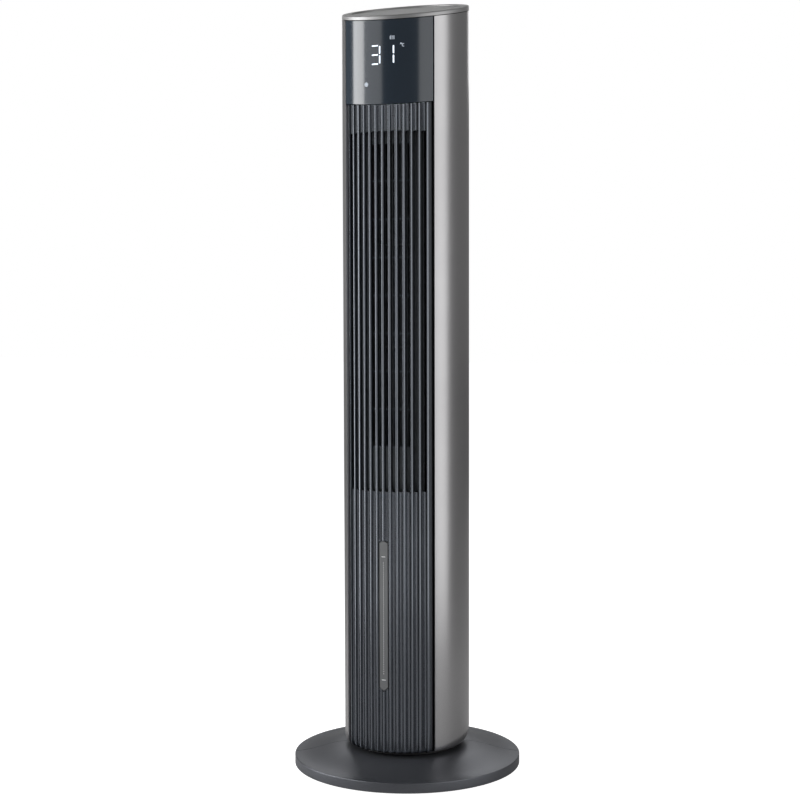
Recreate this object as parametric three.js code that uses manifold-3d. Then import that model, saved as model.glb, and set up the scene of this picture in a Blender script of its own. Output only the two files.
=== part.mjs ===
// Tower fan with water cooling. Millimetres, +Z up, the outlet faces -Y.
// The origin is on the floor under the centre of the round foot.
import * as THREE from 'three';
import { mergeVertices } from 'three/addons/utils/BufferGeometryUtils.js';
import Module from 'manifold-3d';

const wasm = await Module();
wasm.setup();

// Driving sizes
const bodyR = 83;            // outside radius of the tower
const wall = 2.6;            // wall of the outer panels
const towerBottom = 32.3;    // underside of the tower, above the floor
const footR = 150;           // radius of the round foot
const rimTop = 14;           // height of the foot's rim
const neckTop = 27.4;        // height of the foot's flat middle
const footTurn = 21.5;       // the tower stands swung this far, in degrees, from the foot's own front
// Slanted planes: height on the axis, rise per mm towards the back
const capLow = { z: 988.9, slope: 0.243 };    // underside of the cap
const capHigh = { z: 994.6, slope: 0.254 };   // top of the cap
const displayLow = { z: 879.2, slope: 0.19 }; // lower edge of the display
const slantTurn = 5;         // the planes fall towards this angle, not exactly to the front
const frontEdge = 46.5;      // half angle of the front panel and display, degrees
const sideEdge = [47.6, 125];  // the side panels run between these angles
const rearEdge = 125.6;      // the rear pieces start at this angle
const ribCount = 13;
const ribPitch = 9.02;       // spacing of the ribs across the front
const ribWidth = 3;
const fluteDepth = 4;
const fluteFloor = 7.2;      // the panel's inner face lies this far below the ribs
const slotLow = 371;
const slotHigh = 830.5;
const outlet = { halfWidth: 29.5, low: 426, high: 818, y: -57 };
const barCount = 7;
const barPitch = 48.9;
const firstBar = 475.8;
const windowLow = 112;
const windowHigh = 309;
const rotorR = 38;
const rotorY = -4;           // the rotor's axis is a little in front of the tower's
const bladeCount = 16;
const rotorSpan = [430, 814];
const shaftR = 4;
const pad = { halfWidth: 46, y0: 44, y1: 57, low: 372, high: 800 };  // block of wetted paper
const gearModule = 1.5;
const sectorTeeth = 60;
const pinionTeeth = 14;
const gap = 0.3;             // play between pieces that touch

const radians = (degrees) => degrees * Math.PI / 180;

const finishes = {
  gunmetal: { color: 0x8f8e90, roughness: 0.32, metalness: 0.75 },
  capGrey: { color: 0x9a9a9b, roughness: 0.38, metalness: 0.7 },
  baseGrey: { color: 0x5d5c60, roughness: 0.4, metalness: 0.6 },
  darkPlastic: { color: 0x34363a, roughness: 0.45, metalness: 0.2 },
  blackPlastic: { color: 0x17181b, roughness: 0.6, metalness: 0 },
  whitePlastic: { color: 0xd9d7cf, roughness: 0.5, metalness: 0 },
  display: { color: 0x0d1218, roughness: 0.08, metalness: 0 },
  clear: { color: 0x6d747c, roughness: 0.15, metalness: 0 },
  steel: { color: 0xb4b6b9, roughness: 0.3, metalness: 1 },
  bronze: { color: 0x9a6a35, roughness: 0.4, metalness: 1 },
  rubber: { color: 0x141414, roughness: 0.9, metalness: 0 },
  board: { color: 0x1c5a34, roughness: 0.6, metalness: 0 },
  paper: { color: 0x8a6a42, roughness: 0.95, metalness: 0 },
  mesh: { color: 0x2a2b2d, roughness: 0.9, metalness: 0 },
  tank: { color: 0xa9b4bd, roughness: 0.25, metalness: 0 },
};

const tower = new THREE.Group();

// Solids: three.js geometry in, manifold out, and back again

function solid(geometry) {
  const bare = geometry.clone();
  bare.deleteAttribute('normal');
  bare.deleteAttribute('uv');
  const merged = mergeVertices(bare, 1e-4);
  const position = merged.attributes.position.array;
  const index = merged.index.array;
  const corner = (i) => new THREE.Vector3().fromArray(position, 3 * i);
  const triangles = [];
  let volume = 0;
  for (let i = 0; i < index.length; i += 3) {
    const [a, b, c] = [index[i], index[i + 1], index[i + 2]];
    if (a === b || b === c || c === a) continue;
    triangles.push([a, b, c]);
    volume += corner(a).dot(corner(b).cross(corner(c)));
  }
  const facing = volume > 0 ? triangles : triangles.map(([a, b, c]) => [a, c, b]);
  return new wasm.Manifold(new wasm.Mesh({
    numProp: 3, vertProperties: Float32Array.from(position), triVerts: Uint32Array.from(facing.flat()),
  }));
}

function geometryOf(manifold) {
  const mesh = manifold.getMesh();
  const geometry = new THREE.BufferGeometry();
  geometry.setAttribute('position', new THREE.BufferAttribute(Float32Array.from(mesh.vertProperties), 3));
  geometry.setIndex(Array.from(mesh.triVerts));
  return geometry;
}

function add(name, manifold, finish, group = tower) {
  const mesh = new THREE.Mesh(geometryOf(manifold), new THREE.MeshStandardMaterial(finishes[finish]));
  mesh.name = name;
  group.add(mesh);
}

// Basic shapes

function box(x0, x1, y0, y1, z0, z1) {
  const geometry = new THREE.BoxGeometry(x1 - x0, y1 - y0, z1 - z0);
  return solid(geometry.translate((x0 + x1) / 2, (y0 + y1) / 2, (z0 + z1) / 2));
}

function rod(radius, z0, z1, x = 0, y = 0, sides = 24) {
  const geometry = new THREE.CylinderGeometry(radius, radius, z1 - z0, sides).rotateX(Math.PI / 2);
  return solid(geometry.translate(x, y, (z0 + z1) / 2));
}

// A rod along Y
function crossRod(radius, y0, y1, x, z, sides = 12) {
  return solid(new THREE.CylinderGeometry(radius, radius, y1 - y0, sides).translate(x, (y0 + y1) / 2, z));
}

// A body turned about the Z axis from [radius, height] points
function turned(points, sides = 48, x = 0, y = 0) {
  const profile = points.concat([points[0]]).map(([r, z]) => new THREE.Vector2(r, z));
  return solid(new THREE.LatheGeometry(profile, sides).rotateX(Math.PI / 2).translate(x, y, 0));
}

function ring(inner, outer, z0, z1, sides = 48, x = 0, y = 0) {
  return turned([[inner, z0], [outer, z0], [outer, z1], [inner, z1]], sides, x, y);
}

function plate(shape, z0, z1, curveSegments = 12) {
  const geometry = new THREE.ExtrudeGeometry(shape, { depth: z1 - z0, bevelEnabled: false, curveSegments });
  return solid(geometry.translate(0, 0, z0));
}

function outlineShape(points) {
  return new THREE.Shape(points.map(([x, y]) => new THREE.Vector2(x, y)));
}

// Angles run from the front (-Y) towards +X
function arcPoints(radius, from, to, steps) {
  return Array.from({ length: steps + 1 }, (_, i) => {
    const angle = radians(from + (to - from) * i / steps);
    return [radius * Math.sin(angle), -radius * Math.cos(angle)];
  });
}

function sector(inner, outer, from, to, z0, z1) {
  const steps = Math.max(2, Math.round(Math.abs(to - from) / 5));
  const outline = arcPoints(outer, from, to, steps).concat(arcPoints(inner, to, from, steps));
  return plate(outlineShape(outline), z0, z1);
}

// Everything above a slanted plane, raised by offset
function above(plane, offset = 0) {
  const size = 400;
  const geometry = new THREE.BoxGeometry(size, size, size).translate(0, 0, size / 2);
  geometry.rotateX(Math.atan(plane.slope)).rotateZ(radians(slantTurn));
  return solid(geometry.translate(0, 0, plane.z + offset));
}

// A screw standing along Z, head down, its tip at z1
function screw(headR, shankR, z0, headTop, z1, x, y) {
  return rod(headR, z0, headTop, x, y, 10).add(rod(shankR, headTop - 0.1, z1, x, y, 8));
}

// The tower's outer form, pulled in by inset. Its lower edge is an elliptic round that grows
// from front to back: the wall leans in by `lean` over the height `rise`.
function envelope(inset, drop = 0) {
  const rows = 6;
  const top = 1040;
  const geometry = new THREE.CylinderGeometry(1, 1, 1, 72, rows).rotateX(Math.PI / 2);
  const position = geometry.attributes.position;
  for (let i = 0; i < position.count; i += 1) {
    const [x, y, height] = [position.getX(i), position.getY(i), position.getZ(i) + 0.5];
    const row = Math.round(height * rows);
    const behind = (1 + y / (Math.hypot(x, y) || 1)) / 2;
    const lean = 4 + 10.3 * behind;
    const rise = 4 + 26 * behind;
    const turn = Math.max(row - 1, 0) / (rows - 2) * Math.PI / 2;
    const radius = bodyR - inset - lean * (1 - Math.sin(Math.min(turn, Math.PI / 2)));
    const z = row === 0 ? towerBottom - drop : towerBottom + rise * (1 - Math.cos(turn));
    position.setXYZ(i, x * radius, y * radius, row === rows ? top : z);
  }
  return solid(geometry);
}

// A curved piece of the tower's outer wall between two angles and two heights
function skin(from, to, z0, z1) {
  const shell = envelope(0, 1).subtract(envelope(wall, 5));
  return shell.intersect(sector(40, 100, from, to, z0, z1));
}

// A finger pocket let into the back wall, its mouth flush with the tower's surface
function cup({ halfWidth, low, high, back }) {
  const thickness = 1.8;
  const outer = box(-halfWidth, halfWidth, back, 100, low, high);
  const side = halfWidth - thickness;
  const inner = box(-side, side, back + thickness, 101, low + thickness, high - thickness);
  return outer.subtract(inner).intersect(rod(bodyR - gap, low - 10, high + 10, 0, 0, 72));
}

// Foot

const footRise = (r) => {
  const t = THREE.MathUtils.clamp((149 - r) / 70, 0, 1);
  return rimTop + (neckTop - rimTop) * t * t * (3 - 2 * t);
};

const footAngles = [45, 135, 225, 315].map((angle) => angle + footTurn);
const footSides = 48;
const footHole = 58;
const footSkin = 2.8;
const padCircle = 132;
const padTop = 3.3;
const screwCircle = 65;
const onCircle = (r, angle) => [r * Math.cos(radians(angle)), r * Math.sin(radians(angle))];
const screwPlaces = footAngles.map((angle) => onCircle(screwCircle, angle + 22));

function footSolid() {
  const skinTop = [149, 136, 123, 110, 97, 86, 79].map((r) => [r, footRise(r)]);
  const under = [80, 97, 123].map((r) => [r, footRise(r) - footSkin]);
  const shell = turned([
    [footHole, neckTop - footSkin], ...under, [footR - footSkin, rimTop - 3], [footR - footSkin, 1.2],
    [footR, 1.2], [footR, rimTop - 1], ...skinTop, [footHole, neckTop],
  ], footSides);
  const filled = turned([
    [footHole, padTop], [footR - 1.5, padTop], [footR - 1.5, rimTop - 2],
    ...[123, 97, 80].map((r) => [r, footRise(r) - 1]), [footHole, neckTop - 1],
  ], footSides);
  let webs = ring(padCircle - 22, padCircle - 19.5, padTop, 40, footSides).intersect(filled);
  for (const angle of footAngles) {
    const web = box(footHole - 1, footR, -1.5, 1.5, padTop, 40).rotate([0, 0, angle]);
    const boss = rod(9, padTop, 40, ...onCircle(padCircle, angle), 14);
    webs = webs.add(web.intersect(filled)).add(boss.intersect(filled));
  }
  return shell.add(webs);
}

function buildFoot() {
  let whole = footSolid();
  for (const place of screwPlaces) whole = whole.subtract(rod(2.3, 0, 40, ...place, 8));
  const frontHalf = box(-200, 200, -200, -gap / 2, -10, 60).rotate([0, 0, footTurn]);
  const rearHalf = box(-200, 200, gap / 2, 200, -10, 60).rotate([0, 0, footTurn]);
  add('base_front_half', whole.intersect(frontHalf), 'baseGrey');
  add('base_rear_half', whole.intersect(rearHalf), 'baseGrey');
  footAngles.forEach((angle, i) => {
    add(`foot_${i + 1}`, rod(8, 0, 3, ...onCircle(padCircle, angle), 16), 'rubber');
    add(`base_screw_${i + 1}`, screw(4, 2, 21.5, neckTop - 3.1, 30.1, ...screwPlaces[i]), 'steel');
  });
}

// Swivel: a fixed hub with a toothed sector, and the pinion that rolls round it

const hubColumnR = 33;
const gearLow = 38;
const gearHigh = 44;
const toothReach = 9;        // teeth cut on each side of the sector's middle
const toothShift = 4;        // the middle lies this many teeth past the pinion, towards the longer swing
const sectorR = gearModule * sectorTeeth / 2;
const pinionR = gearModule * pinionTeeth / 2;
const pinionX = -(sectorR + pinionR);

// One flank of an involute tooth as [radius, half angle] pairs
function toothFlank(teeth, pitchR) {
  const baseR = pitchR * Math.cos(radians(20));
  const backlash = 0.15;
  const involute = (r) => {
    const pressure = Math.acos(Math.min(1, baseR / r));
    return Math.tan(pressure) - pressure;
  };
  const halfAtPitch = Math.PI / 2 / teeth - backlash / pitchR / 2;
  const root = pitchR - 1.1 * gearModule;
  const radii = [root, Math.max(baseR, pitchR - 0.7 * gearModule), pitchR, pitchR + 0.8 * gearModule];
  return radii.map((r) => [r, halfAtPitch + involute(pitchR) - involute(Math.max(r, baseR))]);
}

function toothPoints(teeth, pitchR, centre) {
  const flank = toothFlank(teeth, pitchR);
  const place = (r, angle) => [r * Math.cos(angle), r * Math.sin(angle)];
  const rising = flank.map(([r, half]) => place(r, centre - half));
  const falling = flank.slice().reverse().map(([r, half]) => place(r, centre + half));
  return rising.concat(falling);
}

function buildSwivel() {
  const flange = [[56, neckTop + gap], [71, neckTop + gap], [71, 30.8], [hubColumnR, 30.8]];
  const column = [[24, 12], [hubColumnR - 3, 12], [hubColumnR - 3, 25], [56, 25], ...flange,
    [hubColumnR, 52], [24, 52]];
  let hub = turned(column, 32);
  for (const place of screwPlaces) hub = hub.subtract(rod(2.3, 20, 30.3, ...place, 8));
  add('swivel_hub', hub, 'blackPlastic');
  add('swivel_washer', ring(40, 66, 31, 31.9, 28), 'whitePlastic');

  const step = 2 * Math.PI / sectorTeeth;
  const middle = Math.PI + toothShift * step;
  let outline = [];
  for (let tooth = -toothReach; tooth <= toothReach; tooth += 1) {
    outline = outline.concat(toothPoints(sectorTeeth, sectorR, middle + tooth * step));
  }
  const plainSteps = 14;
  const from = (toothReach + 0.5) * step;
  for (let i = 1; i < plainSteps; i += 1) {
    const angle = middle + from + (2 * Math.PI - 2 * from) * i / plainSteps;
    outline.push([(sectorR - 3) * Math.cos(angle), (sectorR - 3) * Math.sin(angle)]);
  }
  const blank = plate(outlineShape(outline), gearLow, gearHigh);
  add('sector_gear', blank.subtract(rod(hubColumnR + 0.5, 0, 60, 0, 0, 32)), 'whitePlastic');
  add('hub_nut', ring(hubColumnR + 0.5, 39, gearHigh + gap, 49, 24), 'blackPlastic');
}

function buildPinion() {
  let outline = [];
  for (let tooth = 0; tooth < pinionTeeth; tooth += 1) {
    const centre = (tooth + 0.5) * 2 * Math.PI / pinionTeeth;
    outline = outline.concat(toothPoints(pinionTeeth, pinionR, centre));
  }
  const collar = rod(6, gearHigh, gearHigh + 4, 0, 0, 16);
  const gear = plate(outlineShape(outline), gearLow, gearHigh + 1).add(collar);
  add('swing_pinion', gear.subtract(rod(2.8, 0, 60, 0, 0, 12)).translate([pinionX, 0, 0]), 'whitePlastic');
}

// Frame: decks, rails and the pan that carries them

const deckR = 69.5;
const bayDeck = [62, 65];
const tankDeck = [338, 341];
const motorDeck = [405, 408];
const topDeck = [832, 836];

function buildFrame() {
  const pan = envelope(wall + gap + 0.2).intersect(rod(75.3, 32, 35.2, 0, 0, 72));
  add('bottom_pan', pan.subtract(rod(hubColumnR + 1.2, 20, 60, 0, 0, 40)), 'blackPlastic');
  add('bay_deck', rod(deckR, ...bayDeck, 0, 0, 40), 'blackPlastic');
  add('deck_plate', rod(deckR, ...tankDeck, 0, 0, 40), 'blackPlastic');
  const betweenFascias = box(-90, 90, outlet.y + 3, pad.y0 - 1.5, 0, 900);
  const motorPlate = rod(deckR, ...motorDeck, 0, 0, 40).intersect(betweenFascias);
  add('motor_plate', motorPlate.subtract(rod(9, 400, 420, 0, rotorY)), 'blackPlastic');
  const bearingPlate = rod(deckR, ...topDeck, 0, 0, 40).intersect(betweenFascias);
  add('bearing_plate', bearingPlate.subtract(rod(8.3, 830, 840, 0, rotorY)), 'blackPlastic');
  for (const [side, from, to] of [['right', 43.5, 54], ['left', -54, -43.5]]) {
    add(`frame_rail_${side}`, sector(70, 75.3, from, to, 35.5, 945), 'blackPlastic');
  }
}

// Swing motor: a flat geared motor under the bay deck, its shaft down into the pinion
function buildSwingMotor() {
  const motor = rod(21, 49, 61.7, pinionX + 1, 0, 28).add(rod(2.5, gearLow + 1, 50, pinionX, 0, 12));
  add('swing_motor', motor, 'steel');
}

// Fan: motor, cross-flow rotor, scroll and tongue

function buildFanMotor() {
  const profile = [[0, 352], [33, 352], [36, 355], [36, 392], [30, 398], [15, 400], [15, 404.7], [0, 404.7]];
  const motor = turned(profile, 32, 0, rotorY);
  add('fan_motor', motor.subtract(rod(shaftR + gap, 385, 410, 0, rotorY, 16)), 'steel');
  add('top_bearing', ring(shaftR + gap, 8, 829, 838, 24, 0, rotorY), 'bronze');
}

function buildImpeller() {
  const [low, high] = rotorSpan;
  let rotor = rod(7, low - 8, low + 2, 0, 0, 20).add(rod(7, high - 2, high + 8, 0, 0, 20));
  for (let i = 0; i < 4; i += 1) {
    const z = low + (high - low - 3) * i / 3;
    const disc = rod(rotorR, z, z + 3, 0, 0, 24);
    const open = i === 1 || i === 2;
    rotor = rotor.add(open ? disc.subtract(rod(rotorR - 10, z - 1, z + 4, 0, 0, 24)) : disc);
  }
  const blade = box(-4, 3.4, -0.6, 0.6, low + 1, high - 1).rotate([0, 0, 32]).translate([rotorR - 4, 0, 0]);
  for (let i = 0; i < bladeCount; i += 1) rotor = rotor.add(blade.rotate([0, 0, 360 * i / bladeCount]));
  rotor = rotor.subtract(rod(shaftR + gap, 400, 850, 0, 0, 16)).translate([0, rotorY, 0]);
  add('impeller', rotor, 'blackPlastic');
  add('impeller_shaft', rod(shaftR, 386, 841, 0, rotorY, 16), 'steel');
}

function buildScroll() {
  const span = [motorDeck[1] + gap, topDeck[0] - gap];
  const mouth = [outlet.halfWidth + 0.6, outlet.y + 3];
  const steps = 16;
  const inner = [];
  for (let i = 0; i <= steps; i += 1) {
    const turn = i / steps;
    const angle = radians(150 - 118 * turn);
    const r = rotorR + 4 + 12 * turn;
    inner.push([r * Math.sin(angle), rotorY - r * Math.cos(angle)]);
  }
  inner.push(mouth);
  const outer = inner.map(([x, y]) => [x + (x > 0 ? 2 : 0), y + (y > rotorY ? 2 : 0)]).reverse();
  add('scroll_housing', plate(outlineShape(inner.concat(outer)), ...span), 'darkPlastic');
  const tongue = [[-mouth[0], mouth[1]], [-34, -36], [-44, -20], [-46, -22], [-48, -46], [-46, mouth[1]]];
  add('air_tongue', plate(outlineShape(tongue), ...span), 'darkPlastic');
}

function buildOutlet() {
  const { halfWidth, low, high, y } = outlet;
  const frame = box(-47, 47, y, y + 2.6, 371, 850);
  add('outlet_frame', frame.subtract(box(-halfWidth, halfWidth, y - 1, y + 5, low, high)), 'darkPlastic');
  let guard = box(-halfWidth + gap, halfWidth - gap, y, y + 2, low + gap, high - gap);
  guard = guard.subtract(box(-halfWidth + 1.8, halfWidth - 1.8, y - 1, y + 3, low + 1.8, high - 1.8));
  for (let i = 0; i < barCount; i += 1) {
    const z = firstBar + i * barPitch;
    guard = guard.add(box(-halfWidth + 1, halfWidth - 1, y, y + 2, z - 0.7, z + 0.7));
  }
  add('outlet_guard', guard, 'darkPlastic');
}

// Front: fluted panel, water window, display

const ribPlaces = Array.from({ length: ribCount }, (_, k) => (k - (ribCount - 1) / 2) * ribPitch);
const onRadius = (w, r) => [w, -Math.sqrt(r * r - w * w)];

function flutedOutline() {
  const steps = 4;
  const edge = bodyR * Math.sin(radians(frontEdge));
  const floorR = bodyR - fluteDepth;
  const outline = [onRadius(-edge * floorR / bodyR - 0.2, floorR)];
  ribPlaces.forEach((w, k) => {
    outline.push(onRadius(w - ribWidth / 2, bodyR), onRadius(w + ribWidth / 2, bodyR));
    if (k === ribCount - 1) return;
    for (let i = 1; i < steps; i += 1) {
      const across = w + ribWidth / 2 + (ribPitch - ribWidth) * i / steps;
      outline.push(onRadius(across, bodyR - fluteDepth * Math.sin(Math.PI * i / steps) ** 0.7));
    }
  });
  outline.push(onRadius(edge * floorR / bodyR + 0.2, floorR));
  return outline.concat(arcPoints(bodyR - fluteFloor, frontEdge, -frontEdge, 18));
}

// A tall slot with round ends, cut straight through along Y
function slotCut(x, width, z0, z1) {
  const r = width / 2;
  const shape = new THREE.Shape();
  shape.absarc(0, z0 + r, r, Math.PI, 2 * Math.PI);
  shape.absarc(0, z1 - r, r, 0, Math.PI);
  const geometry = new THREE.ExtrudeGeometry(shape, { depth: 60, bevelEnabled: false, curveSegments: 4 });
  return solid(geometry.rotateX(Math.PI / 2).translate(x, -35, 0));
}

// The window's outline: straight sides and pointed ends
function windowCut(halfWidth, grow, y0, y1) {
  const [pointLow, pointHigh] = [5, 3.2];
  const [z0, z1] = [windowLow - grow, windowHigh + grow];
  const shape = outlineShape([[0, z0], [halfWidth, z0 + pointLow], [halfWidth, z1 - pointHigh], [0, z1],
    [-halfWidth, z1 - pointHigh], [-halfWidth, z0 + pointLow]]);
  const geometry = new THREE.ExtrudeGeometry(shape, { depth: y1 - y0, bevelEnabled: false });
  return solid(geometry.rotateX(Math.PI / 2).translate(0, y1, 0));
}

function buildFront() {
  let panel = plate(outlineShape(flutedOutline()), towerBottom, 900).intersect(envelope(-gap));
  panel = panel.subtract(above(displayLow, -1));
  const slotWidth = ribPitch - ribWidth - 0.4;
  for (let k = 0; k < ribCount - 1; k += 1) {
    panel = panel.subtract(slotCut(ribPlaces[k] + ribPitch / 2, slotWidth, slotLow, slotHigh));
  }
  panel = panel.subtract(windowCut(6.3, 0, -90, -60));
  add('front_panel', panel, 'darkPlastic');
  add('window_lens', windowCut(6, -gap, -81.6, -78.8), 'clear');
}

function buildDisplay() {
  const lens = sector(bodyR - 3, bodyR, -frontEdge, frontEdge, 850, 1000);
  add('display_lens', lens.subtract(above(capLow, -0.6)).intersect(above(displayLow)), 'display');
  add('display_board', box(-42, 42, -61.6, -60, 885, 960), 'board');
  add('digit_light_guide', box(-30, 30, -73, -62, 903, 952), 'whitePlastic');
  add('control_board', box(-38, 38, 28, 29.6, 860, 965), 'board');
}

function buildCap() {
  const disc = rod(bodyR, 940, 1040, 0, 0, 72).intersect(above(capLow)).subtract(above(capHigh));
  const inside = rod(bodyR - wall, 940, 1040, 0, 0, 48);
  const hollow = inside.subtract(above(capHigh, -3.4)).intersect(above(capLow, -2));
  const dish = rod(bodyR - 11, 940, 1060, 0, 0, 60).intersect(above(capHigh, -1.6));
  add('top_cap', disc.subtract(hollow).subtract(dish), 'capGrey');
}

// Sides and back

const intake = { halfWidth: 50, low: 362, high: 850 };
const handle = { halfWidth: 42, low: 884, high: 926, back: 50 };
const rearSplit = 867;       // the rear cover ends here and the upper back starts
const rearScrews = [[-34, 350.5], [34, 350.5], [-34, 944], [34, 944]];

function rearOpening(halfWidth, z0, z1) {
  return box(-halfWidth, halfWidth, 30, 100, z0, z1);
}

function buildSides() {
  const right = skin(...sideEdge, 0, 1100).subtract(above(capLow, -0.6));
  const left = skin(-sideEdge[1], -sideEdge[0], 0, 1100).subtract(above(capLow, -0.6));
  add('side_panel_right', right, 'gunmetal');
  add('side_panel_left', left, 'gunmetal');
}

function buildBack() {
  const shell = skin(rearEdge, 360 - rearEdge, 340, 1100).subtract(above(capLow, -0.6));
  const drilled = rearScrews.reduce((cover, [x, z], i) => {
    const y = Math.sqrt(bodyR * bodyR - x * x);
    const pin = crossRod(1.6, y - 12, y, x, z, 8);
    add(`rear_screw_${i + 1}`, pin.add(crossRod(3.4, y - 0.6, y + 0.9, x, z)), 'steel');
    return cover.subtract(crossRod(2, y - 20, y + 1, x, z)).subtract(crossRod(3.9, y - 0.9, y + 10, x, z));
  }, shell);
  const lower = drilled.intersect(rearOpening(bodyR, 0, rearSplit - gap));
  const upper = drilled.intersect(rearOpening(bodyR, rearSplit + gap, 1100));
  const handleMouth = rearOpening(handle.halfWidth + gap, handle.low - gap, handle.high + gap);
  add('rear_cover', lower.subtract(rearOpening(intake.halfWidth, intake.low, intake.high)), 'darkPlastic');
  add('upper_back', upper.subtract(handleMouth), 'darkPlastic');
  add('handle_cup', cup(handle), 'blackPlastic');
  const glandX = 30;
  const glandZ = 47;
  const skirt = skin(rearEdge, 360 - rearEdge, 0, 57);
  add('rear_skirt', skirt.subtract(crossRod(6.3, 40, 100, glandX, glandZ, 16)), 'darkPlastic');
  const gland = crossRod(6, 64, 79, glandX, glandZ, 16);
  add('cord_gland', gland.subtract(crossRod(3.6, 60, 90, glandX, glandZ, 12)), 'rubber');
}

// Water: sump with pump, riser hose, drip tray, pad in its frame

function buildWater() {
  const sump = box(-38, 38, -44, 24, 65.3, 90);
  add('sump_tray', sump.subtract(box(-36, 36, -42, 22, 67.3, 95)), 'whitePlastic');
  const pump = box(-16, 16, -22, 10, 68, 80).add(rod(5, 79, 83, 8, -6, 12));
  add('water_pump', pump, 'blackPlastic');
  const route = new THREE.CatmullRomCurve3([
    [8, -6, 83.4], [8, -6, 87], [13, -6, 92], [30, -4, 93.4], [58, -1, 93.4], [70, 0, 96], [74, 0, 106],
    [74, 0, 460], [74, 0, 796], [73, 6, 814], [68, 22, 824], [58, 40, 827], [47, 50, 827],
  ].map((p) => new THREE.Vector3(...p)), false, 'catmullrom', 0.3);
  const section = outlineShape(arcPoints(3, 0, 315, 7));
  const hose = new THREE.ExtrudeGeometry(section, { extrudePath: route, steps: 56, bevelEnabled: false });
  add('water_hose', solid(hose), 'clear');
  const { halfWidth, y0, y1, low, high } = pad;
  const frame = box(-halfWidth - 3, halfWidth + 3, y0 - 1, y1 + 1, low - 4, high + 4);
  const inside = box(-halfWidth - gap, halfWidth + gap, y0 - 2, y1 + 2, low - gap, high + gap);
  add('pad_frame', frame.subtract(inside), 'blackPlastic');
  add('cooling_pad', box(-halfWidth, halfWidth, y0, y1, low, high), 'paper');
  const tray = box(-halfWidth, halfWidth, y0, y1, high + 5, high + 19);
  const basin = box(-halfWidth + 2, halfWidth - 2, y0 + 2, y1 - 2, high + 7, high + 30);
  add('drip_tray', tray.subtract(basin), 'whitePlastic');
}

// Removable intake cover: slotted grille with the dust filter behind it
function buildIntakeCover() {
  const play = 0.5;
  let grille = skin(140, 220, intake.low + play, intake.high - play);
  grille = grille.intersect(rearOpening(intake.halfWidth - play, intake.low, intake.high));
  const [columns, rows] = [11, 3];
  const border = 6;
  const cell = (2 * intake.halfWidth - 2 * border) / columns;
  const rowHeight = (intake.high - intake.low - 2 * border) / rows;
  for (let column = 0; column < columns; column += 1) {
    const x = -intake.halfWidth + border + cell * (column + 0.5);
    for (let row = 0; row < rows; row += 1) {
      const z = intake.low + border + rowHeight * row;
      const slot = box(x - cell / 2 + 1.3, x + cell / 2 - 1.3, 30, 100, z + 2, z + rowHeight - 2);
      grille = grille.subtract(slot);
    }
  }
  add('intake_grille', grille, 'darkPlastic');
  const sheet = sector(78.4, bodyR - wall - gap, 146, 214, intake.low + 4, intake.high - 4);
  add('dust_filter', sheet, 'mesh');
}

// Water tank: a drawer with a curved door, open at the top

const tank = { halfWidth: 62, low: 98, high: 326, frontR: 69, rearR: 66, wall: 2.2 };

function tankOutline(inset) {
  const { halfWidth, frontR, rearR } = tank;
  const side = halfWidth - inset;
  const front = frontR - inset;
  const rear = rearR - inset;
  const frontAngle = Math.asin(side / front) * 180 / Math.PI;
  const rearAngle = 180 - Math.asin(side / rear) * 180 / Math.PI;
  const rearArc = arcPoints(rear, rearAngle, 360 - rearAngle, 14);
  return outlineShape(arcPoints(front, -frontAngle, frontAngle, 16).concat(rearArc));
}

function buildTank() {
  const { halfWidth, low, high } = tank;
  const water = plate(tankOutline(tank.wall), low + tank.wall, high + 10);
  const pot = plate(tankOutline(0), low, high).subtract(water);
  // Two ears run from the tank's sides to the door, along the inside of the door's curve
  const leftEar = box(-halfWidth, -halfWidth + 3, 20, 49, low, high);
  const rightEar = box(halfWidth - 3, halfWidth, 20, 49, low, high);
  const behindDoor = rod(bodyR - wall - 2 * gap, 0, 400, 0, 0, 72);
  const ears = leftEar.add(rightEar).subtract(plate(tankOutline(tank.wall / 2), 0, 400));
  add('tank_body', pot.add(ears.intersect(behindDoor)), 'tank');
  const grip = { halfWidth: 30, low: 286, high: 312, back: 67 };
  const door = skin(rearEdge, 360 - rearEdge, 58, 338.6);
  const mouth = rearOpening(grip.halfWidth + gap, grip.low - gap, grip.high + gap);
  add('tank_door', door.subtract(mouth), 'darkPlastic');
  add('tank_grip', cup(grip), 'blackPlastic');
}

buildFoot();
buildSwivel();
buildPinion();
buildFrame();
buildSwingMotor();
buildFanMotor();
buildImpeller();
buildScroll();
buildOutlet();
buildFront();
buildDisplay();
buildCap();
buildSides();
buildBack();
buildWater();
buildIntakeCover();
buildTank();

export default tower;
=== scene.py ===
# Tower fan with water cooling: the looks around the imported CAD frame. Metres, +Z up, outlet towards -Y.
import bmesh
import bpy
import numpy as np
from mathutils import Matrix, Vector


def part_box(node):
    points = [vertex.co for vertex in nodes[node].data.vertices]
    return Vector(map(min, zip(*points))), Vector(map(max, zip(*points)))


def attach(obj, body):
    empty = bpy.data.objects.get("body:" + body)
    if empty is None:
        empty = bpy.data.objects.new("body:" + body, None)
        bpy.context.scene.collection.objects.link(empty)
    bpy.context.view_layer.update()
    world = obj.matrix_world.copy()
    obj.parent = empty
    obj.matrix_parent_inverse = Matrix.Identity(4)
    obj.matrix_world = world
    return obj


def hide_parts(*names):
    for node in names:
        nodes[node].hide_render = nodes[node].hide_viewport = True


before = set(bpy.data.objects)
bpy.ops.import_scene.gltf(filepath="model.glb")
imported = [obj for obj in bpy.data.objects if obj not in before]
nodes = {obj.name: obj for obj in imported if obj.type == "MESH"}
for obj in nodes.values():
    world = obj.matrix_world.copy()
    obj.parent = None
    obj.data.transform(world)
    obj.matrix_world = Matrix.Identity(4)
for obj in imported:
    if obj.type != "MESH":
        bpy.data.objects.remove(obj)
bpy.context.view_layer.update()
scene = bpy.context.scene
scene.view_settings.view_transform = "Standard"
mm = 0.001


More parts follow.
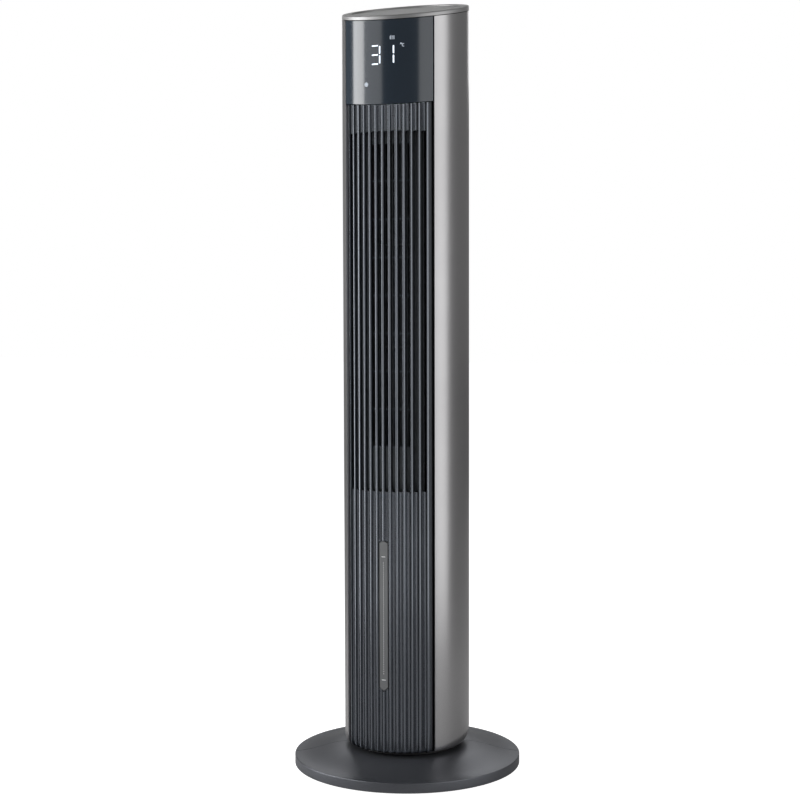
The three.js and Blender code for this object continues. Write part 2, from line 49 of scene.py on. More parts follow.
# A long lens a little over half the tower's height, turned to see the front and the right-hand side
def placeCamera():
    view = {"azimuth": 21.5, "distance": 2.0973, "height": 0.6088, "sideways": 0.0039,
            "pitchDown": 3.386, "turnLeft": 0.338, "roll": 0.153, "lens": 71.39, "sensor": 36.0}
    turn = np.radians(view["azimuth"] + view["turnLeft"])
    pitch, roll = np.radians(view["pitchDown"]), np.radians(view["roll"])
    spin = np.array([[np.cos(turn), -np.sin(turn), 0], [np.sin(turn), np.cos(turn), 0], [0, 0, 1]])
    forward = spin @ [0, np.cos(pitch), -np.sin(pitch)]
    right, up = spin @ [1, 0, 0], spin @ [0, np.sin(pitch), np.cos(pitch)]
    tiltedRight = np.cos(roll) * right - np.sin(roll) * up
    tiltedUp = np.sin(roll) * right + np.cos(roll) * up
    around = np.radians(view["azimuth"])
    away, aside = view["distance"], view["sideways"]
    place = [aside * np.cos(around) + away * np.sin(around),
             aside * np.sin(around) - away * np.cos(around), view["height"]]
    lens = bpy.data.cameras.new("camera")
    lens.lens, lens.sensor_width = view["lens"], view["sensor"]
    lens.clip_start, lens.clip_end = 0.05, 60
    camera = bpy.data.objects.new("camera", lens)
    scene.collection.objects.link(camera)
    basis = np.eye(4)
    basis[:3, 0], basis[:3, 1], basis[:3, 2], basis[:3, 3] = tiltedRight, tiltedUp, -forward, place
    camera.matrix_world = Matrix(basis.tolist())
    scene.camera = camera
    return view["azimuth"]


viewAzimuth = placeCamera()
print("camera placed")

panelLow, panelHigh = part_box("side_panel_right")
capLow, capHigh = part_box("top_cap")
displayLow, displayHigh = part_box("display_lens")
windowLow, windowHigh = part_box("window_lens")
body = {
    "radius": -displayLow.y,          # outside of the tower
    "wall": 2.6 * mm,
    "bottom": panelLow.z,
    "frontEdge": 46.5,                # half angle of the front panel and the display
    "sideEdges": (47.6, 125.0),
    "seam": 0.6 * mm,                 # play between the outer panels
    "underSlope": 0.243,              # rise of the cap's underside, metres per metre towards the back
    "topSlope": 0.254,
    "displaySlope": 0.19,
    "slantTurn": 5.0,                 # the slanted planes fall towards this angle from the front
}
capUnderHeight = capLow.z + body["underSlope"] * body["radius"]
capTopHeight = capHigh.z - body["topSlope"] * body["radius"]
displayEdgeHeight = displayLow.z + body["displaySlope"] * body["radius"]


# Turns corner points and faces into a finished piece that rides on a body
def meshPiece(name, vertices, faces, bodyName, slotName, material, replaced=(), sharpAngle=35, bevel=0.0):
    mesh = bpy.data.meshes.new(name)
    mesh.from_pydata(np.asarray(vertices, float).tolist(), [], [list(map(int, f)) for f in faces])
    work = bmesh.new()
    work.from_mesh(mesh)
    bmesh.ops.remove_doubles(work, verts=work.verts, dist=2e-6)
    bmesh.ops.dissolve_degenerate(work, edges=work.edges, dist=1e-6)
    bmesh.ops.recalc_face_normals(work, faces=work.faces)
    work.to_mesh(mesh)
    work.free()
    mesh.shade_smooth()
    mesh.set_sharp_from_angle(angle=np.radians(sharpAngle))
    piece = bpy.data.objects.new(name, mesh)
    scene.collection.objects.link(piece)
    mesh.materials.append(material)
    if bevel:
        round_ = piece.modifiers.new("edges", "BEVEL")
        round_.width, round_.segments = bevel, 2
        round_.limit_method, round_.angle_limit = "ANGLE", np.radians(38)
        round_.harden_normals = True
        round_.use_clamp_overlap = True
    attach(piece, bodyName)
    if replaced:
        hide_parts(*replaced)
    return piece


# Two grids of points (rows x columns) closed into one thick sheet. keep says which cells are material; a
# wall joins the two grids wherever a kept cell meets an opening or the sheet's edge
def sheetMesh(front, back, keep):
    rows, columns = front.shape[:2]
    vertices = np.concatenate([front.reshape(-1, 3), back.reshape(-1, 3)])
    index = np.arange(rows * columns).reshape(rows, columns)
    other = index + rows * columns
    a, b, c, d = index[:-1, :-1], index[:-1, 1:], index[1:, 1:], index[1:, :-1]
    outer = np.stack([a, b, c, d], -1)[keep]
    inner = np.stack([d, c, b, a], -1)[keep] + rows * columns
    padded = np.pad(keep, 1)
    alongRow = padded[:-1, 1:-1] != padded[1:, 1:-1]
    alongColumn = padded[1:-1, :-1] != padded[1:-1, 1:]
    wallA = np.stack([index[:, :-1], index[:, 1:], other[:, 1:], other[:, :-1]], -1)[alongRow]
    wallB = np.stack([index[:-1, :], index[1:, :], other[1:, :], other[:-1, :]], -1)[alongColumn]
    return vertices, np.concatenate([outer, inner, wallA, wallB])


# Sections (count x points x 3), each a closed loop, joined one to the next; the ends get a face unless
# the last section joins the first
def loftMesh(sections, closed=False):
    count, points = sections.shape[:2]
    vertices = sections.reshape(-1, 3)
    index = np.arange(count * points).reshape(count, points)
    following = np.roll(index, -1, axis=0) if closed else index[1:]
    current = index if closed else index[:-1]
    quads = np.stack([current, np.roll(current, -1, 1), np.roll(following, -1, 1), following], -1)
    faces = quads.reshape(-1, 4).tolist()
    if not closed:
        faces += [index[0][::-1].tolist(), index[-1].tolist()]
    return vertices, faces


# Several (vertices, faces) pairs as one
def joined(parts):
    vertices, faces, start = [], [], 0
    for points, polygons in parts:
        vertices.append(np.asarray(points, float))
        faces += [[int(i) + start for i in polygon] for polygon in polygons]
        start += len(points)
    return np.concatenate(vertices), faces


# A closed profile of (radius, height) points carried round the vertical line through centre
def turnedMesh(profile, steps=96, angles=(0.0, 360.0), centre=(0.0, 0.0)):
    closed = abs(angles[1] - angles[0]) >= 360
    turn = np.radians(np.linspace(*angles, steps + 1))[: steps if closed else None, None]
    radius, height = np.asarray(profile, float).T
    sections = np.stack([centre[0] + radius * np.sin(turn), centre[1] - radius * np.cos(turn),
                         np.broadcast_to(height, (len(turn), len(height)))], -1)
    return loftMesh(sections, closed)


# A rectangle of points round the origin, with quarter circles at its corners
def roundedLoop(width, height, radius, steps=4):
    corner = np.radians(np.linspace(0, 90, steps + 1))
    loop = []
    for quarter, (sx, sy) in enumerate([(1, 1), (-1, 1), (-1, -1), (1, -1)]):
        angle = corner + np.pi / 2 * quarter
        loop.append(np.stack([sx * (width / 2 - radius) + radius * np.cos(angle),
                              sy * (height / 2 - radius) + radius * np.sin(angle)], -1))
    return np.concatenate(loop)


# A box with its upright edges rounded, from corner to corner
def blockMesh(low, high, radius):
    low, high = np.asarray(low, float), np.asarray(high, float)
    loop = roundedLoop(high[0] - low[0], high[1] - low[1], radius) + (low + high)[:2] / 2
    sections = [np.column_stack([loop, np.full(len(loop), z)]) for z in (low[2], high[2])]
    return loftMesh(np.array(sections))


# A copy of a CAD node with its facets merged and its edges rounded
def refined(node, name, material, bodyName, slotName, bevel, sharpAngle=35):
    copy = nodes[node].data.copy()
    work = bmesh.new()
    work.from_mesh(copy)
    bmesh.ops.remove_doubles(work, verts=work.verts, dist=5e-6)
    bmesh.ops.dissolve_limit(work, angle_limit=np.radians(1.0), verts=work.verts, edges=work.edges)
    vertices = [v.co[:] for v in work.verts]
    work.verts.index_update()
    faces = [[v.index for v in f.verts] for f in work.faces]
    work.free()
    return meshPiece(name, vertices, faces, bodyName, slotName, material, (node,), sharpAngle, bevel)


def newMaterial(name):
    material = bpy.data.materials.new(name)
    material.use_nodes = True
    tree = material.node_tree
    return material, tree, tree.nodes["Principled BSDF"]


# Noise on Object coordinates, scale cells to the metre; stretch below 1 draws the grain out along an axis
def objectNoise(tree, scale, detail, stretch=(1, 1, 1), roughness=0.55):
    coordinate = tree.nodes.new("ShaderNodeTexCoord")
    mapping = tree.nodes.new("ShaderNodeMapping")
    mapping.inputs["Scale"].default_value = stretch
    noise = tree.nodes.new("ShaderNodeTexNoise")
    noise.inputs["Scale"].default_value = scale
    noise.inputs["Detail"].default_value = detail
    noise.inputs["Roughness"].default_value = roughness
    tree.links.new(coordinate.outputs["Object"], mapping.inputs["Vector"])
    tree.links.new(mapping.outputs["Vector"], noise.inputs["Vector"])
    return noise.outputs["Fac"]


# A value carried from inLow..inHigh to low..high, and held at the ends
def remap(tree, value, low, high, inLow=0.3, inHigh=0.7):
    node = tree.nodes.new("ShaderNodeMapRange")
    node.inputs["From Min"].default_value, node.inputs["From Max"].default_value = inLow, inHigh
    node.inputs["To Min"].default_value, node.inputs["To Max"].default_value = low, high
    tree.links.new(value, node.inputs["Value"])
    return node.outputs["Result"]


def blendColours(tree, factor, first, second):
    node = tree.nodes.new("ShaderNodeMix")
    node.data_type = "RGBA"
    node.inputs[6].default_value = (*first, 1)
    node.inputs[7].default_value = (*second, 1)
    tree.links.new(factor, node.inputs[0])
    return node.outputs[2]


def addBump(tree, shader, height, strength, distance):
    bump = tree.nodes.new("ShaderNodeBump")
    bump.inputs["Strength"].default_value = strength
    bump.inputs["Distance"].default_value = distance
    tree.links.new(height, bump.inputs["Height"])
    tree.links.new(bump.outputs["Normal"], shader.inputs["Normal"])


driftScale = 9.0           # slow drift of colour, in noise cells per metre
coatRoughness = 0.12
grainDepth = 0.02 * mm


# Moulded plastic, lacquer or metal: colour = base * (1 -+ variation) along a slow noise, and a fine noise
# of grain cells per metre that moves the roughness by 12 % and the bump
def plasticMaterial(name, colour, roughness, metallic, variation, grain, bump, coat=0.0, stretch=(1, 1, 1),
                    specular=0.5, through=0.0):
    material, tree, shader = newMaterial(name)
    drift = objectNoise(tree, driftScale, 3)
    fine = objectNoise(tree, grain, 2, stretch)
    dark = tuple(c * (1 - variation) for c in colour)
    light = tuple(min(1, c * (1 + variation)) for c in colour)
    tree.links.new(blendColours(tree, remap(tree, drift, 0, 1), dark, light), shader.inputs["Base Color"])
    tree.links.new(remap(tree, fine, roughness * 0.88, roughness * 1.12), shader.inputs["Roughness"])
    shader.inputs["Metallic"].default_value = metallic
    shader.inputs["Specular IOR Level"].default_value = specular
    shader.inputs["Coat Weight"].default_value = coat
    shader.inputs["Coat Roughness"].default_value = coatRoughness
    shader.inputs["Transmission Weight"].default_value = through
    addBump(tree, shader, fine, bump, grainDepth)
    return material


# each row: material name, colour, roughness, metallic, variation, grain, bump, and what else it needs
surfaces = {
    "panel": ("satinGunmetal", (0.36, 0.355, 0.36), 0.30, 0.9, 0.04, 3200, 0.10, {}),
    "cap": ("capLacquer", (0.34, 0.34, 0.342), 0.47, 0.85, 0.04, 3200, 0.10, {}),
    "foot": ("footLacquer", (0.12, 0.125, 0.138), 0.42, 0.9, 0.05, 3000, 0.12, {}),
    "flutes": ("flutePlastic", (0.15, 0.162, 0.182), 0.22, 0.9, 0.05, 2800, 0.05, {}),
    "rear": ("rearPlastic", (0.06, 0.061, 0.064), 0.48, 0.1, 0.08, 1500, 0.35, {}),
    "black": ("mattBlackPlastic", (0.012, 0.012, 0.013), 0.62, 0.0, 0.15, 1400, 0.4, {}),
    "guard": ("guardPlastic", (0.2, 0.23, 0.27), 0.4, 0.2, 0.08, 1800, 0.2, {}),
    "inner": ("innerPlastic", (0.15, 0.165, 0.185), 0.5, 0.0, 0.15, 1400, 0.3, {}),
    "white": ("acetalWhite", (0.62, 0.61, 0.56), 0.45, 0.0, 0.06, 900, 0.2, {}),
    "rubber": ("rubberBlack", (0.014, 0.014, 0.014), 0.85, 0.0, 0.2, 1800, 0.6, {}),
    "steel": ("zincSteel", (0.50, 0.51, 0.53), 0.32, 1.0, 0.06, 700, 0.25, {"stretch": (1, 1, 0.06)}),
    "bronze": ("sinteredBronze", (0.42, 0.26, 0.11), 0.42, 1.0, 0.12, 2200, 0.4, {}),
    "board": ("solderMask", (0.012, 0.10, 0.035), 0.4, 0.0, 0.2, 500, 0.2, {}),
    "display": ("displayAcrylic", (0.007, 0.017, 0.030), 0.17, 0.0, 0.05, 400, 0.01, {"specular": 0.9}),
    "window": ("windowSmoke", (0.14, 0.145, 0.15), 0.22, 0.1, 0.1, 600, 0.05, {"coat": 0.4}),
    "hose": ("hoseSilicone", (0.32, 0.33, 0.33), 0.35, 0.0, 0.1, 500, 0.1, {}),
    "print": ("whitePrint", (0.72, 0.73, 0.74), 0.5, 0.0, 0.05, 1500, 0.1, {}),
    "tank": ("tankSmoke", (0.42, 0.47, 0.52), 0.28, 0.0, 0.05, 700, 0.1, {"through": 0.45}),
}
finish = {key: plasticMaterial(*row[:-1], **row[-1]) for key, row in surfaces.items()}


# Lit marks behind the display: a little uneven, as small lamps behind a diffuser are
def glowMaterial(name, colour, strength):
    material, tree, shader = newMaterial(name)
    uneven = remap(tree, objectNoise(tree, 900, 2), strength * 0.85, strength * 1.1)
    shader.inputs["Base Color"].default_value = (*colour, 1)
    shader.inputs["Emission Color"].default_value = (*colour, 1)
    tree.links.new(uneven, shader.inputs["Emission Strength"])
    return material


finish["glow"] = glowMaterial("displayGlow", (0.80, 0.90, 1.0), 0.95)
finish["dimGlow"] = glowMaterial("displayDimGlow", (0.80, 0.88, 1.0), 0.27)


# Waves on Object coordinates, the higher of the two where there are two: folds of paper, or threads of a
# net. scale sets how close the waves are, depth is their height in metres. The colour runs from shade
# where the waves are low to colour where they are high: painted shade in the folds of the paper and the
# gaps of the net.
def wavyMaterial(name, colour, shade, roughness, scale, directions, depth):
    material, tree, shader = newMaterial(name)
    coordinate = tree.nodes.new("ShaderNodeTexCoord")
    heights = []
    for way in directions:
        wave = tree.nodes.new("ShaderNodeTexWave")
        wave.bands_direction = way
        wave.inputs["Scale"].default_value = scale
        wave.inputs["Distortion"].default_value = 0.4
        tree.links.new(coordinate.outputs["Object"], wave.inputs["Vector"])
        heights.append(wave.outputs["Fac"])
    height = heights[0]
    if len(heights) > 1:
        most = tree.nodes.new("ShaderNodeMath")
        most.operation = "MAXIMUM"
        tree.links.new(heights[0], most.inputs[0])
        tree.links.new(heights[1], most.inputs[1])
        height = most.outputs[0]
    # painted shade: the colour darkens where the waves are low, in the folds and between the threads
    tree.links.new(blendColours(tree, height, shade, colour), shader.inputs["Base Color"])
    drift = objectNoise(tree, 300, 3)
    uneven = remap(tree, drift, roughness * 0.9, min(1.0, roughness * 1.1))
    tree.links.new(uneven, shader.inputs["Roughness"])
    addBump(tree, shader, height, 1.0, depth)
    return material


# the second colour of each is painted shade, put in the paper's folds and in the gaps between the net's
# threads
finish["pad"] = wavyMaterial("padPaper", (0.42, 0.27, 0.13), (0.16, 0.09, 0.04), 0.9, 52, ("DIAGONAL",),
                             1.5 * mm)
finish["net"] = wavyMaterial("nylonNet", (0.055, 0.055, 0.06), (0.004, 0.004, 0.004), 0.7, 210, ("X", "Z"),
                             0.3 * mm)
print("materials made")


# Points at an angle from the front (degrees, towards +X), a radius and a height
def onBody(angle, radius, height):
    turn = np.radians(angle)
    turn, radius, height = np.broadcast_arrays(turn, radius, height)
    return np.stack([radius * np.sin(turn), -radius * np.cos(turn), height], -1)


lowerEdge = {"atFront": 4, "leanMore": 10.3, "riseMore": 26}      # millimetres


# How far the lower edge leans in and how high its round goes: each grows from its value at the front by
# its own "more" times (1 - cos(angle)) / 2
def lowerRound(angle):
    behind = (1 - np.cos(np.radians(angle))) / 2
    lean, rise = lowerEdge["leanMore"] * behind, lowerEdge["riseMore"] * behind
    return (lowerEdge["atFront"] + lean) * mm, (lowerEdge["atFront"] + rise) * mm


# Radius and height of the outer wall: share runs 0..1 up the elliptic lower round, then 1..2 to the top
def bodyWall(angles, share, top):
    lean, rise = lowerRound(angles)
    turn = np.clip(share, 0, 1) * np.pi / 2
    radius = body["radius"] - lean * (1 - np.sin(turn))
    rounded = body["bottom"] + rise * (1 - np.cos(turn))
    straight = np.clip(share - 1, 0, 1)
    return radius, rounded + (top - rounded) * straight


# Height of a slanted plane: h - slope * r * cos(angle - slantTurn)
def planeHeight(angle, radius, height, slope):
    return height - slope * radius * np.cos(np.radians(angle - body["slantTurn"]))


sidePanels = {"columns": 110, "edge": 0.5 * mm, "rows": [1.15, 1.35, 1.6, 1.8, 1.95, 2.0]}


# A curved skin with its lower edge rounded in (share 0..1) and its top edge cut along the cap (share 2)
def buildSidePanel(side):
    p = sidePanels
    sign = 1 if side == "right" else -1
    angles = sign * np.linspace(*body["sideEdges"], p["columns"])[None, :]
    share = np.concatenate([np.linspace(0, 1, 15), p["rows"]])[:, None]
    top = planeHeight(angles, body["radius"], capUnderHeight - body["seam"], body["underSlope"])
    radius, height = bodyWall(angles, share, top)
    front = onBody(angles, radius, height)
    back = onBody(angles, radius - body["wall"], height)
    keep = np.ones((front.shape[0] - 1, front.shape[1] - 1), bool)
    name = "sidePanelRight" if side == "right" else "sidePanelLeft"
    return meshPiece(name, *sheetMesh(front, back, keep), "tower", "panel_gunmetal", finish["panel"],
                     (f"side_panel_{side}",), 40, p["edge"])


buildSidePanel("right")
buildSidePanel("left")
print("side panels made")

flutes = {
    "count": 13, "pitch": 9.02 * mm, "nose": 3.0 * mm, "noseRound": 1.2 * mm, "depth": 4.0 * mm,
    "thickness": 7.2 * mm, "slotMargin": 0.2 * mm, "slotLow": 371 * mm, "slotHigh": 830.5 * mm,
    "windowHalf": 6.3 * mm, "pointLow": 5 * mm, "pointHigh": 3.2 * mm, "topGap": 1.0 * mm,
    "windowPlay": 0.3 * mm, "thinnest": 1.5 * mm, "edge": 0.15 * mm,
}


# Places across the front, denser on the rib noses and towards the ends of each slot
def fluteColumns():
    f = flutes
    centres = (np.arange(f["count"]) - (f["count"] - 1) / 2) * f["pitch"]
    nose = f["nose"] / 2 * np.sin(np.linspace(-90, 90, 9) * np.pi / 180)
    slotHalf = (f["pitch"] - f["nose"]) / 2 - f["slotMargin"]
    inSlot = slotHalf * np.sin(np.linspace(-90, 90, 13) * np.pi / 180)
    places = np.concatenate([(centres[:, None] + nose).ravel(),
                             ((centres[:-1] + f["pitch"] / 2)[:, None] + inSlot).ravel()])
    edge = (body["radius"] - f["depth"]) * np.sin(np.radians(body["frontEdge"]))
    outer = np.linspace(centres[-1] + f["nose"] / 2, edge, 5)[1:]
    places = np.unique(np.concatenate([places, outer, -outer]).round(7))
    for target in (f["windowHalf"], -f["windowHalf"]):
        places[np.argmin(abs(places - target))] = target
    return places, centres, slotHalf


# Depth below the outer radius. On a rib's nose it is noseRound * (distance / half) ** 2.6, and between
# two ribs it grows on as (depth - noseRound) * sin(across * 90 degrees) ** 0.8.
def fluteDepth(places, centres):
    f = flutes
    offset = places - centres[np.argmin(abs(places[:, None] - centres), axis=1)]
    distance = abs(offset)
    half = f["nose"] / 2
    onNose = f["noseRound"] * (np.minimum(distance, half) / half) ** 2.6
    across = np.clip((distance - half) / (f["pitch"] / 2 - half), 0, 1)
    hollow = (f["depth"] - f["noseRound"]) * np.sin(across * np.pi / 2) ** 0.8
    return onNose + hollow


# Fluted panel: closed flutes above and below, slots with round ends between, and the window's opening
def buildFrontPanel():
    f = flutes
    places, centres, slotHalf = fluteColumns()
    outerR = body["radius"] - fluteDepth(places, centres)
    angle = np.degrees(np.arcsin(places / outerR))
    innerR = np.full_like(outerR, body["radius"] - f["thickness"])
    innerAngle = np.degrees(np.arcsin(np.clip(places / innerR, -0.99, 0.99)))

    slotCentres = (centres[:-1] + centres[1:]) / 2
    nearest = slotCentres[np.argmin(abs(places[:, None] - slotCentres), axis=1)]
    fromCentre = np.minimum(abs(places - nearest), slotHalf)
    roundEnd = np.sqrt(np.maximum(slotHalf ** 2 - fromCentre ** 2, 0)) - slotHalf
    slotLow, slotHigh = f["slotLow"] - roundEnd, f["slotHigh"] + roundEnd
    point = np.clip(abs(places) / f["windowHalf"], 0, 1)
    winLow = windowLow.z - f["windowPlay"] + f["pointLow"] * point
    winHigh = windowHigh.z + f["windowPlay"] - f["pointHigh"] * point
    top = planeHeight(angle, outerR, displayEdgeHeight - f["topGap"], body["displaySlope"])

    share = np.linspace(0, 1, 8)[:, None]
    lean, rise = lowerRound(angle[None, :])
    leaning = lean * (1 - np.sin(share * np.pi / 2))
    roundRows = body["bottom"] + rise * (1 - np.cos(share * np.pi / 2))
    levels = [winLow, winHigh, slotLow, slotHigh, top]
    heights = np.concatenate([roundRows, np.array(levels)])
    radii = np.concatenate([outerR - leaning, np.tile(outerR, (len(levels), 1))])
    inner = np.minimum(innerR, radii - f["thinnest"])
    front = onBody(angle[None, :], radii, heights)
    back = onBody(innerAngle[None, :], inner, heights)

    keep = np.ones((len(heights) - 1, len(places) - 1), bool)
    middle = (places[1:] + places[:-1]) / 2
    inSlot = (abs(middle[:, None] - slotCentres) < slotHalf).any(1)
    windowRow, slotRow = len(share), len(share) + 2
    keep[windowRow, abs(middle) < f["windowHalf"]] = False
    keep[slotRow, inSlot] = False
    return meshPiece("flutedFront", *sheetMesh(front, back, keep), "tower", "dark_plastic",
                     finish["flutes"], ("front_panel",), 50, f["edge"])


buildFrontPanel()
print("fluted front made")

displayPlate = {"thickness": 3 * mm, "edge": 0.4 * mm, "rows": 9, "columns": 97}


# The gloss window: a curved plate between the cap and the fluted panel, its heights spread evenly from the
# lower plane to the upper one
def buildDisplay():
    d = displayPlate
    angles = np.linspace(-body["frontEdge"], body["frontEdge"], d["columns"])[None, :]
    share = np.linspace(0, 1, d["rows"])[:, None]
    low = planeHeight(angles, body["radius"], displayEdgeHeight, body["displaySlope"])
    high = planeHeight(angles, body["radius"], capUnderHeight - body["seam"], body["underSlope"])
    height = low + (high - low) * share
    front = onBody(angles, body["radius"], height)
    back = onBody(angles, body["radius"] - d["thickness"], height)
    keep = np.ones((d["rows"] - 1, d["columns"] - 1), bool)
    return meshPiece("displayWindow", *sheetMesh(front, back, keep), "tower", "display_black",
                     finish["display"], ("display_lens",), 40, d["edge"])


marks = {
    "digitHeight": 24.6 * mm, "digitWidth": 12.4 * mm, "stroke": 1.8 * mm, "middle": 925.2 * mm,
    "tens": -7.6 * mm, "units": 10.6 * mm,             # middles of the two digits, across the front
    "level": (14.2 * mm, 945.9 * mm), "levelStep": 2.3 * mm, "levelBar": (4.8 * mm, 0.7 * mm),
    "degree": (27.2 * mm, 936.6 * mm), "icon": (-21.9 * mm, 889.2 * mm),
    "proud": 0.06 * mm, "skin": 0.12 * mm,
}


# a grid of (across, height) laid on the display: y = -sqrt(r * r - across * across)
def curvedPatch(across, height):
    radius = body["radius"] + marks["proud"]
    layers = [np.stack([across, -np.sqrt(r * r - across ** 2), height], -1)
              for r in (radius, radius - marks["skin"])]
    keep = np.ones((across.shape[0] - 1, across.shape[1] - 1), bool)
    return sheetMesh(*layers, keep)


# a stroke with round ends: half width = w * sqrt(1 - ((|s| - (half - w)) / w) ** 2) near each end
def strokePatch(centre, length, width, upright):
    half, thin = length / 2, width / 2
    along = (-half * np.cos(np.linspace(0, np.pi, 15)))[None, :]
    past = np.clip((abs(along) - (half - thin)) / thin, 0, 0.98)
    over = np.array([[-1.0], [1.0]]) * thin * np.sqrt(1 - past ** 2)
    along = np.broadcast_to(along, over.shape)
    pair = (over, along) if upright else (along, over)
    return curvedPatch(centre[0] + pair[0], centre[1] + pair[1])


# a curved stroke between two radii, its angle measured from +X
def arcPatch(centre, radius, width, start, stop, steps=24):
    turn = np.radians(np.linspace(start, stop, steps))[None, :]
    reach = np.array([[radius - width], [radius]])
    return curvedPatch(centre[0] + reach * np.cos(turn), centre[1] + reach * np.sin(turn))


# The lit reading: the strokes of a "3" and a "1"
def buildReading():
    m = marks
    stroke = m["stroke"]
    half, quarter = m["digitHeight"] / 2 - stroke / 2, m["digitHeight"] / 4
    side = m["digitWidth"] / 2 - stroke / 2
    flat, upright = m["digitWidth"] - stroke * 1.9, m["digitHeight"] / 2 - stroke * 1.2
    flatMiddle = m["tens"] - stroke * 0.75
    parts = [strokePatch((flatMiddle, m["middle"] + lift), flat, stroke * 0.9, False)
             for lift in (-half, 0, half)]
    parts += [strokePatch((column + side, m["middle"] + lift), upright, stroke, True)
              for column in (m["tens"], m["units"]) for lift in (-quarter * 0.96, quarter * 0.96)]
    meshPiece("readingMarks", *joined(parts), "tower", "white_plastic", finish["glow"])


# The dim marks: a three-bar level, a degree sign and a round touch mark
def buildSmallMarks():
    m = marks
    x, z = m["level"]
    parts = [strokePatch((x + step * m["levelStep"], z), *m["levelBar"], True) for step in (-1, 0, 1)]
    x, z = m["degree"]
    parts.append(arcPatch((x - 2.0 * mm, z + 1.5 * mm), 0.95 * mm, 0.5 * mm, 0, 359))
    parts.append(arcPatch((x + 0.9 * mm, z - 0.3 * mm), 1.9 * mm, 0.6 * mm, 60, 300))
    x, z = m["icon"]
    parts.append(arcPatch((x, z), 2.5 * mm, 0.6 * mm, 120, 420))
    parts.append(arcPatch((x, z), 1.0 * mm, 0.5 * mm, 0, 359))
    parts.append(strokePatch((x, z + 2.2 * mm), 2.4 * mm, 0.6 * mm, True))
    meshPiece("smallMarks", *joined(parts), "tower", "white_plastic", finish["dimGlow"])


buildDisplay()
buildReading()
buildSmallMarks()
print("display made")

cap = {
    "dishRadius": 72 * mm, "dishDepth": 1.6 * mm, "rimRound": 1.6 * mm, "skin": 2.6 * mm,
    "lowerEdge": 0.3 * mm, "rimFlat": 6 * mm, "underside": 4.2 * mm, "centreHole": 0.5 * mm,
}


# Slanted cap. Each section runs up the band, over the rounded rim, down into the shallow dish and back
# under the skin; its heights are drops below the two slanted planes.
def buildCap():
    c = cap
    angles = np.linspace(0, 360, 145)[:-1][:, None]
    quarter = np.radians(np.linspace(0, 90, 6))
    outR, dishR, dish, under = body["radius"], c["dishRadius"], c["dishDepth"], c["underside"]
    band = [(outR - c["skin"], 0), (outR - c["lowerEdge"], 0), (outR, -c["lowerEdge"])]
    rim = np.column_stack([outR - c["rimRound"] * (1 - np.cos(quarter)),
                           c["rimRound"] * (1 - np.sin(quarter))])
    top = [(outR - c["rimFlat"], 0), (dishR + 0.5 * mm, 0), (dishR, 0.3 * mm), (dishR - 0.4 * mm, dish),
           (dishR * 0.75, dish), (dishR * 0.4, dish), (c["centreHole"], dish)]
    below = [(c["centreHole"], under), (dishR * 0.4, under), (dishR, under),
             (outR - c["skin"], under + 0.2 * mm)]
    section = np.concatenate([band, rim, top, below])
    radius, drop = section.T[:, None, :]
    lowPlane = planeHeight(angles, radius, capUnderHeight, body["underSlope"])
    highPlane = planeHeight(angles, radius, capTopHeight, body["topSlope"])
    onBand = (np.arange(len(section)) < len(band))[None, :]
    height = np.where(onBand, lowPlane, highPlane) - drop
    return meshPiece("slantedCap", *loftMesh(onBody(angles, radius, height), True), "tower", "cap_grey",
                     finish["cap"], ("top_cap",), 30)


buildCap()
print("cap made")

foot = {
    "radius": 150 * mm, "rim": 14 * mm, "neck": 27.4 * mm, "domeEdge": 149 * mm, "shoulder": 79 * mm,
    "hole": 58 * mm, "under": 1.2 * mm, "skin": 2.8 * mm, "edgeRound": 1.2 * mm, "lowerEdge": 0.4 * mm,
    "split": 0.42 * mm, "turn": 21.5,       # half width of the split at 100 mm, and the way the foot faces
    "padTop": 3.3 * mm, "padCircle": 132 * mm, "bossRadius": 9 * mm, "bossTop": 13.6 * mm,
    "bossHole": 0.5 * mm, "ribs": (111 * mm, 122 * mm), "ribHalf": 0.8 * mm, "webHalf": 0.9 * mm,
    "web": (66 * mm, 146 * mm), "splitWeb": (66 * mm, 148.5 * mm), "bevel": 0.25 * mm,
}


# Height of the foot's top: rim + (neck - rim) * t * t * (3 - 2 t), t running 0..1 from edge to shoulder
def footRise(radius):
    t = np.clip((foot["domeEdge"] - radius) / (foot["domeEdge"] - foot["shoulder"]), 0, 1)
    return foot["rim"] + (foot["neck"] - foot["rim"]) * t * t * (3 - 2 * t)


# Top of the ribs and webs: a little way into the skin
def ribTop(radius):
    return footRise(radius) - foot["skin"] * 0.6


# The foot's section: up the rim, over its rounded edge, along the dome to the hole and back under the skin
def footProfile():
    f = foot
    outR, skin = f["radius"], f["skin"]
    quarter = np.radians(np.linspace(0, 90, 6))
    rim = [(outR - skin, f["under"]), (outR - f["lowerEdge"], f["under"]),
           (outR, f["under"] + f["lowerEdge"])]
    edge = np.column_stack([outR - f["edgeRound"] * (1 - np.cos(quarter)),
                            f["rim"] - f["edgeRound"] * (1 - np.sin(quarter))])
    top = np.linspace(outR - 1.0 * mm, f["shoulder"], 30)[1:]
    under = np.linspace(f["shoulder"], outR - 6 * mm, 20)
    hole = [(f["hole"], f["neck"]), (f["hole"], f["neck"] - skin)]
    dome = np.column_stack([top, footRise(top)])
    inside = np.column_stack([under, footRise(under) - skin])
    return np.concatenate([rim, edge, dome, hole, inside, [(outR - skin, f["rim"] - 4 * mm)]])


# An upright web under the foot: a strip of constant width along a radius, its top following the dome
def footWeb(angle, start, stop):
    radius = np.linspace(start, stop, 24)[:, None]
    turn = np.radians(angle)
    direction = np.array([np.cos(turn), np.sin(turn)])
    across = np.array([-np.sin(turn), np.cos(turn)]) * foot["webHalf"]
    first, second = direction * radius - across, direction * radius + across
    low, high = np.full_like(radius, foot["padTop"]), ribTop(radius)
    corners = [np.hstack(pair) for pair in ((first, low), (second, low), (second, high), (first, high))]
    return loftMesh(np.stack(corners, axis=1))


